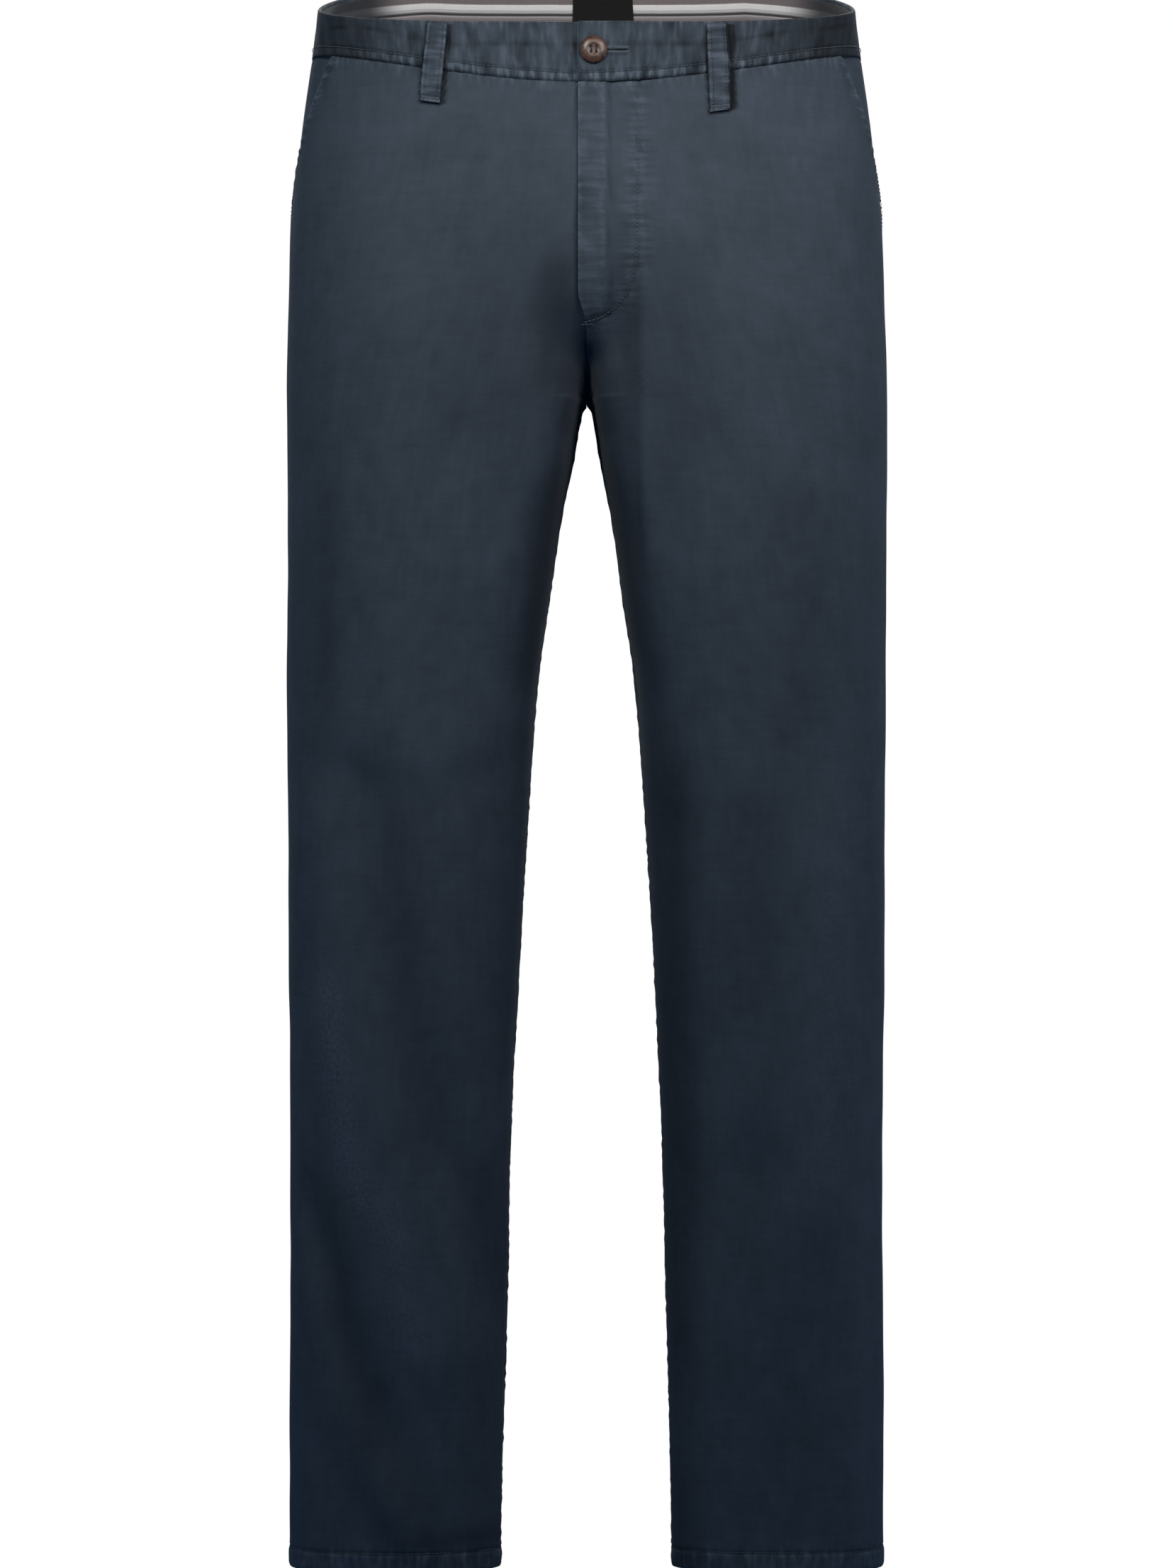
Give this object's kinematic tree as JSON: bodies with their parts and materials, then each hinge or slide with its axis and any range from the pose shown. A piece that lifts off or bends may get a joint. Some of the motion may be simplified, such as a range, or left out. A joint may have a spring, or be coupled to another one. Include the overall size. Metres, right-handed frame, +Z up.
{
  "type": "chino trousers held at the waist",
  "caption": "Straight-leg chino trousers filled out to a hollow worn shape, with waistband, belt loops, closed fly, slanted front pockets and back welts.",
  "frame": {"origin": "centre of the waist opening, level with the middle of the waistband at the sides, where the wearer holds it up", "axes": "+X to the wearer's left, -Y to the front, +Z up"},
  "size_m": [0.418, 0.2664, 1.1126],
  "materials": {
    "navy_twill": "fine garment-washed cotton twill, dark blue-grey, matt",
    "waistband_lining": "plain woven cotton lining in mauve-grey and cream stripes",
    "woven_label": "plain black woven patch",
    "horn_button": "mottled brown, polished, horn-like",
    "zip_tape": "navy woven tape",
    "zip_metal": "plain brass"
  },
  "bodies": {
    "root": {"back_left": "navy_twill", "back_right": "navy_twill", "back_welt_left": "navy_twill", "back_welt_right": "navy_twill", "belt_loop_back": "navy_twill", "belt_loop_front_left": "navy_twill", "belt_loop_front_right": "navy_twill", "belt_loop_side_left": "navy_twill", "belt_loop_side_right": "navy_twill", "fly_zip": "zip_tape", "front_left": "navy_twill", "front_right": "navy_twill", "pocket_facing_left": "navy_twill", "pocket_facing_right": "navy_twill", "waist_button": "horn_button", "waist_label": "woven_label", "waistband_left": "navy_twill", "waistband_lining_left": "waistband_lining", "waistband_lining_right": "waistband_lining", "waistband_right": "navy_twill", "zip_slider": "zip_metal"}
  },
  "joints": []
}
